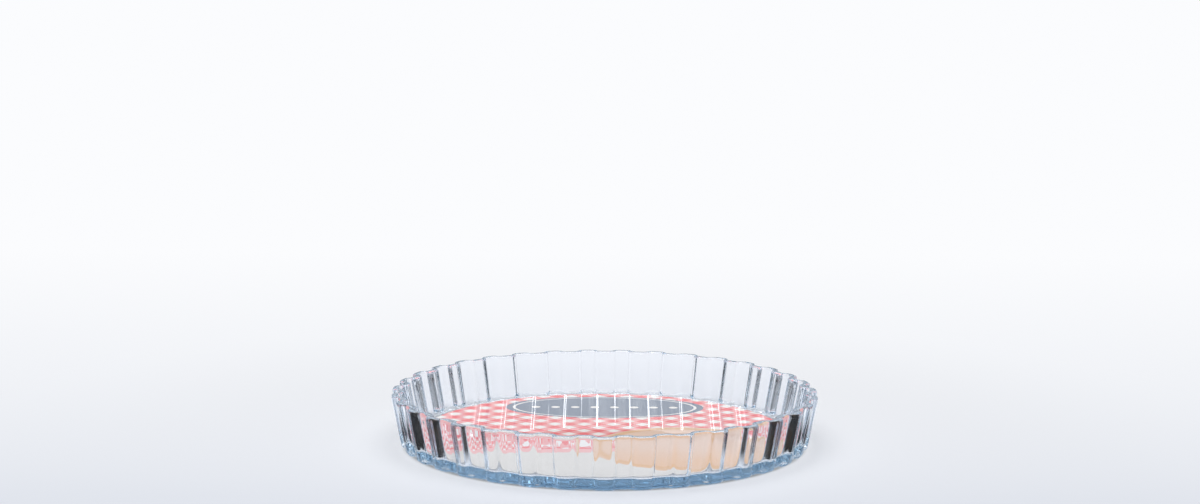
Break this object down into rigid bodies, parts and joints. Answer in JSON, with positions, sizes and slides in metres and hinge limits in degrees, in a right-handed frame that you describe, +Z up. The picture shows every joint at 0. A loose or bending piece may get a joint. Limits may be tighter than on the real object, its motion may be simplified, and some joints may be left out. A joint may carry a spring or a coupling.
{
  "type": "round baking dish",
  "caption": "Shallow round flan dish of clear pressed glass, with a fluted flaring wall, a rounded rim, a foot ring and a printed paper label stuck on its floor.",
  "frame": {"origin": "on the dish's axis, at the level that the foot ring stands on", "axes": "+Z up along the dish's axis, -Y towards the flute crown that faces the viewer"},
  "size_m": [0.2798, 0.2794, 0.035],
  "materials": {
    "clear_glass": "clear pressed borosilicate glass with a faint blue tint, fire-polished",
    "adhesive_film": "thin dab of clear peelable adhesive",
    "printed_paper": "glossy coated paper with a red and white gingham print and a cream panel"
  },
  "bodies": {
    "root": {"glass_dish": "clear_glass", "label_adhesive": "adhesive_film", "paper_label": "printed_paper"}
  },
  "joints": []
}
